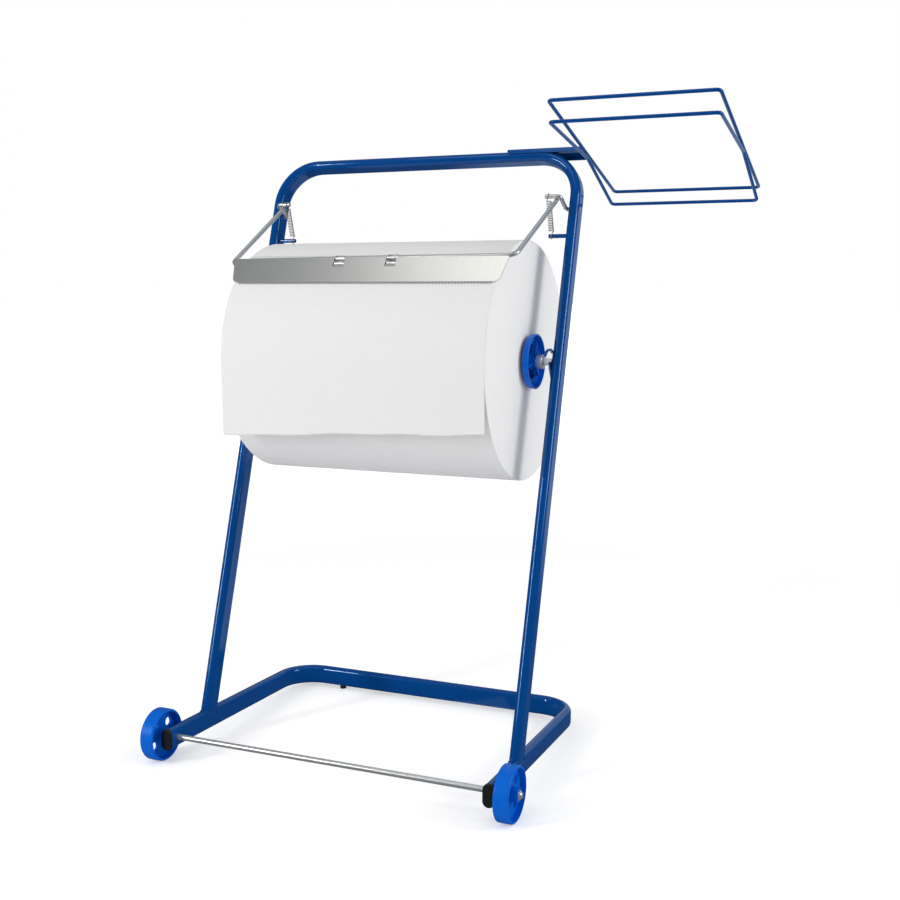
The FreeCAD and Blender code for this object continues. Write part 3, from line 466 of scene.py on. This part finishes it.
def makeSheet(p):
    low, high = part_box("paper_roll")
    axis = centreOf("roll_rod")
    radius = (high.z - low.z) / 2 + p["lift"] * mm
    start = math.radians(p["startAngle"])
    rows = p["arcRows"] + p["freeRows"]
    mesh = bmesh.new()
    bmesh.ops.create_grid(mesh, x_segments=p["columns"], y_segments=rows, size=0.5)
    tear = [random.uniform(-1, 1) for _ in range(p["columns"] + 1)]
    for vertex in mesh.verts:
        across = vertex.co.x + 0.5
        down = 1 - (vertex.co.y + 0.5)
        column = round(across * p["columns"])
        row = round(down * rows)
        drop = p["dropLeft"] + (p["dropRight"] - p["dropLeft"]) * across
        drop += p["edgeWave"] * sum(
            math.sin(across * rate + phase) * share for rate, phase, share in p["edgeWaves"])
        if row == rows:
            drop += p["tearDepth"] * tear[column]
        drop *= mm
        x = low.x + (high.x - low.x) * across
        if row <= p["arcRows"]:
            turn = start * (1 - row / p["arcRows"])
            vertex.co = (x, axis.y - radius * math.cos(turn), axis.z + radius * math.sin(turn))
        else:
            share = (row - p["arcRows"]) / p["freeRows"]
            swing = 0.5 + 0.5 * math.sin(across * p["waveRate"] + p["waveSlant"] * share)
            wave = p["waveDepth"] * share * swing * mm
            vertex.co = (x, axis.y - radius - wave, axis.z - drop * share)
    sheet = finishPiece("looseSheet", mesh, ["paper"], "root")
    thick = sheet.modifiers.new("thickness", "SOLIDIFY")
    thick.thickness = p["thickness"] * mm
    thick.offset = 0.0
    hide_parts("hanging_sheet")


makeSheet(looseSheet)
print("loose sheet laid on")

# ---- springs of the tear bail, each one wire from eye to eye

bailSpring = {"diameter": 8.4, "wire": 1.2, "coilStart": 6.4,
              "turns": 17.75, "firstTurn": 0.125,      # the coil runs from one eye's wire to the other's
              "pointsPerTurn": 14, "eyeRadius": 3.9, "eyeOpening": 100.0, "eyePoints": 12,
              "eyeX": 213.3, "stub": (-34.0, 777.3)}   # y and z of the crank's stub in the hoop's frame


def makeSpring(side, sign, p):
    start = hoopFrame @ Vector((sign * p["eyeX"], *standFrames["springPin"]))
    end = hoopFrame @ Vector((sign * p["eyeX"], *p["stub"]))
    reach = (end - start).length / mm
    up = (end - start).normalized()
    across = Vector((1, 0, 0))
    out = across.cross(up)
    radius = (p["diameter"] - p["wire"]) / 2

    def at(x, y, z):
        return start + (out * x + across * y + up * z) * mm

    halfOpening = p["eyeOpening"] / 2
    eye = [math.radians(180 - halfOpening + k * (180 + halfOpening) / p["eyePoints"])
           for k in range(p["eyePoints"] + 1)]
    lower = [(math.cos(a) * p["eyeRadius"], 0.0, math.sin(a) * p["eyeRadius"]) for a in eye]
    steps = round(p["turns"] * p["pointsPerTurn"])
    coil = []
    for i in range(steps + 1):
        height = p["coilStart"] + (reach - 2 * p["coilStart"]) * i / steps
        angle = p["firstTurn"] * math.tau + p["turns"] * i / steps * math.tau
        coil.append((math.cos(angle) * radius, math.sin(angle) * radius, height))
    upper = [(x, -y, reach - z) for x, y, z in reversed(lower)]
    spring = tubeAlong("bailSpring_" + side, [at(*point) for point in lower + coil + upper],
                       p["wire"] / 2, "spring", None)
    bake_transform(spring)
    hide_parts("spring_" + side, "spring_eye_" + side)


for side, sign in sides:
    makeSpring(side, sign, bailSpring)
print("springs wound")

# ---- weld beads under the legs and round the springs' pins

welds = {"bead": 1.3, "ripple": 0.12, "tubeWidth": 30.0, "tubeThickness": 15.0, "lean": 15.94,
         "footPlace": (87.8, 30.0),    # y and z of a leg's foot in the base's frame
         "footLift": 0.3, "footPoints": 28,
         "turnIn": 4.0,                # how fast the bead passes from the flat side to the round end
         "pinRadius": 3.2, "pinBead": 0.78, "pinLift": 0.3, "pinPoints": 12}


def makeFootWeld(side, sign, w):
    # follows the leg's flat-oval outline over the round top of the base tube
    flat = (w["tubeWidth"] - w["tubeThickness"]) / 2
    roundEnd = w["tubeThickness"] / 2
    footY, footZ = w["footPlace"]
    lean = math.radians(w["lean"])
    points = []
    for i in range(w["footPoints"]):
        turn = i / w["footPoints"] * math.tau
        x = math.cos(turn) * (roundEnd + w["footLift"])
        y = math.sin(turn) * (roundEnd + w["footLift"])
        y += math.copysign(flat, math.sin(turn)) * min(1.0, abs(math.sin(turn)) * w["turnIn"])
        crown = min(abs(x), roundEnd)
        height = w["tubeWidth"] - roundEnd + math.sqrt(roundEnd ** 2 - crown ** 2) + w["footLift"]
        along = (height - footZ + y * math.sin(lean)) / math.cos(lean)
        points.append(baseFrame @ Vector((sign * standFrames["sidePlane"] + x,
                                          footY + y * math.cos(lean) + along * math.sin(lean), height)))
    tubeAlong("footWeld_" + side, points, w["bead"], "powder", "root", True, w["ripple"])


def makePinWeld(side, sign, w):
    x = sign * (standFrames["innerFace"] - w["pinLift"])
    pinY, pinZ = standFrames["springPin"]
    ring = []
    for k in range(w["pinPoints"]):
        turn = k / w["pinPoints"] * math.tau
        ring.append(hoopFrame @ Vector((x, pinY + math.cos(turn) * w["pinRadius"],
                                        pinZ + math.sin(turn) * w["pinRadius"])))
    tubeAlong("pinWeld_" + side, ring, w["pinBead"], "powder", "root", True, w["ripple"])


for side, sign in sides:
    makeFootWeld(side, sign, welds)
    makePinWeld(side, sign, welds)
print("welds laid")

# ---- floor, light and background, in metres; what gloss mirrors goes by compass heading, in radians

studio = {
    "floorSize": 40.0, "floorColour": "#F4F4F4", "nearGlow": 0.36, "farGlow": 1.0, "nearDistance": 1.2,
    "farDistance": 4.5, "horizonLevel": 0.76, "zenithLevel": 0.38,
    "mirrorBack": 0.6, "mirrorRoom": 0.08, "backdropEdges": (0.40, 0.52),
    "mirrorTop": 0.22, "ceilingEdges": (0.55, 0.95), "mirrorTint": "#D8E6F6",
}
studioLamps = {
    "keyLamp": {"place": (-2.0, -2.6, 1.5), "aim": (-0.1, 0.0, 0.5), "size": (0.28, 1.5), "power": 40.0},
    "sideLamp": {"place": (2.5, 0.2, 1.2), "aim": (-0.1, 0.0, 0.5), "size": (0.9, 1.3), "power": 25.0},
    "topLamp": {"place": (-0.28, -1.05, 2.6), "aim": (-0.1, -0.1, 0.6), "size": (1.5, 1.1), "power": 6.3},
}


def mirroredRoom(tree, direction, s):
    # a white backdrop behind the stand and a dim room at its sides and front, for gloss alone
    parts = addNode(tree, "ShaderNodeSeparateXYZ", {}, {"Vector": direction})
    heading = addNode(tree, "ShaderNodeMath", {"operation": "ARCTAN2"},
                      {0: parts.outputs["X"], 1: parts.outputs["Y"]})
    aside = addNode(tree, "ShaderNodeMath", {"operation": "ABSOLUTE"}, {0: heading.outputs[0]})
    inner, outer = s["backdropEdges"]
    room = addNode(tree, "ShaderNodeMapRange", {
        "From Min": inner, "From Max": outer, "To Min": s["mirrorBack"], "To Max": s["mirrorRoom"]},
        {"Value": aside.outputs[0]})
    return room.outputs["Result"]


def makeFloor(s):
    # pale paint that keeps the shadow, lit up to white for the camera, and dim where gloss mirrors it
    mesh = bmesh.new()
    bmesh.ops.create_grid(mesh, x_segments=1, y_segments=1, size=s["floorSize"] / 2)
    data = bpy.data.meshes.new("studioFloor")
    mesh.to_mesh(data)
    mesh.free()
    floor = bpy.data.objects.new("studioFloor", data)
    scene.collection.objects.link(floor)
    material = bpy.data.materials.new("studioFloor")
    tree = emptyTree(material)
    paint = addNode(tree, "ShaderNodeBsdfDiffuse", {"Color": hexColour(s["floorColour"])})
    seen = addNode(tree, "ShaderNodeLightPath")
    place = addNode(tree, "ShaderNodeTexCoord").outputs["Object"]
    away = addNode(tree, "ShaderNodeVectorMath", {"operation": "LENGTH"}, {0: place})
    fade = addNode(tree, "ShaderNodeMapRange", {
        "From Min": s["nearDistance"], "From Max": s["farDistance"], "To Min": s["nearGlow"],
        "To Max": s["farGlow"]}, {"Value": away.outputs["Value"]})
    glowLevel = addNode(tree, "ShaderNodeMath", {"operation": "MULTIPLY"},
                        {0: seen.outputs["Is Camera Ray"], 1: fade.outputs["Result"]})
    glow = addNode(tree, "ShaderNodeEmission", {}, {"Strength": glowLevel.outputs[0]})
    added = addNode(tree, "ShaderNodeAddShader", {}, {0: paint.outputs["BSDF"], 1: glow.outputs["Emission"]})
    mirrored = addNode(tree, "ShaderNodeEmission", {"Color": hexColour(s["mirrorTint"])},
                       {"Strength": mirroredRoom(tree, place, s)})
    either = addNode(tree, "ShaderNodeMixShader", {}, {
        0: seen.outputs["Is Glossy Ray"], 1: added.outputs["Shader"], 2: mirrored.outputs["Emission"]})
    addNode(tree, "ShaderNodeOutputMaterial", {}, {"Surface": either.outputs["Shader"]})
    data.materials.append(material)


def makeWorld(s):
    # white where the camera sees it, soft from all round for diffuse light, the dim room for gloss
    world = bpy.data.worlds.new("studio")
    scene.world = world
    tree = emptyTree(world)
    seen = addNode(tree, "ShaderNodeLightPath")
    direct = addNode(tree, "ShaderNodeMath", {"operation": "MAXIMUM"},
                     {0: seen.outputs["Is Camera Ray"], 1: seen.outputs["Is Transmission Ray"]})
    way = addNode(tree, "ShaderNodeTexCoord").outputs["Generated"]
    height = addNode(tree, "ShaderNodeSeparateXYZ", {}, {"Vector": way}).outputs["Z"]
    lower, upper = s["ceilingEdges"]
    ceiling = addNode(tree, "ShaderNodeMapRange", {
        "From Min": lower, "From Max": upper, "To Max": s["mirrorTop"]}, {"Value": height})
    gloss = addNode(tree, "ShaderNodeMath", {"operation": "ADD"},
                    {0: mirroredRoom(tree, way, s), 1: ceiling.outputs["Result"]})
    dome = addNode(tree, "ShaderNodeMapRange", {"To Min": s["horizonLevel"], "To Max": s["zenithLevel"]},
                   {"Value": height})
    soft = addNode(tree, "ShaderNodeMix", {"data_type": "FLOAT"},
                   {0: seen.outputs["Is Glossy Ray"], 2: dome.outputs["Result"], 3: gloss.outputs[0]})
    level = addNode(tree, "ShaderNodeMix", {"data_type": "FLOAT", 3: 1.0},
                    {0: direct.outputs[0], 2: soft.outputs[0]})
    tinted = addNode(tree, "ShaderNodeMix", {
        "data_type": "RGBA", 6: hexColour("#FFFFFF"), 7: hexColour(s["mirrorTint"])},
        {0: seen.outputs["Is Glossy Ray"]})
    sky = addNode(tree, "ShaderNodeBackground", {}, {"Color": tinted.outputs[2], "Strength": level.outputs[0]})
    addNode(tree, "ShaderNodeOutputWorld", {}, {"Surface": sky.outputs["Background"]})


def hangLamp(name, lamp):
    data = bpy.data.lights.new(name, "AREA")
    data.shape = "RECTANGLE"
    data.size, data.size_y = lamp["size"]
    data.energy = lamp["power"]
    lampObject = bpy.data.objects.new(name, data)
    scene.collection.objects.link(lampObject)
    place = Vector(lamp["place"])
    towards = (Vector(lamp["aim"]) - place).to_track_quat("-Z", "Y")
    lampObject.matrix_world = Matrix.Translation(place) @ towards.to_matrix().to_4x4()


makeFloor(studio)
makeWorld(studio)
for name, lamp in studioLamps.items():
    hangLamp(name, lamp)
print("studio lit")
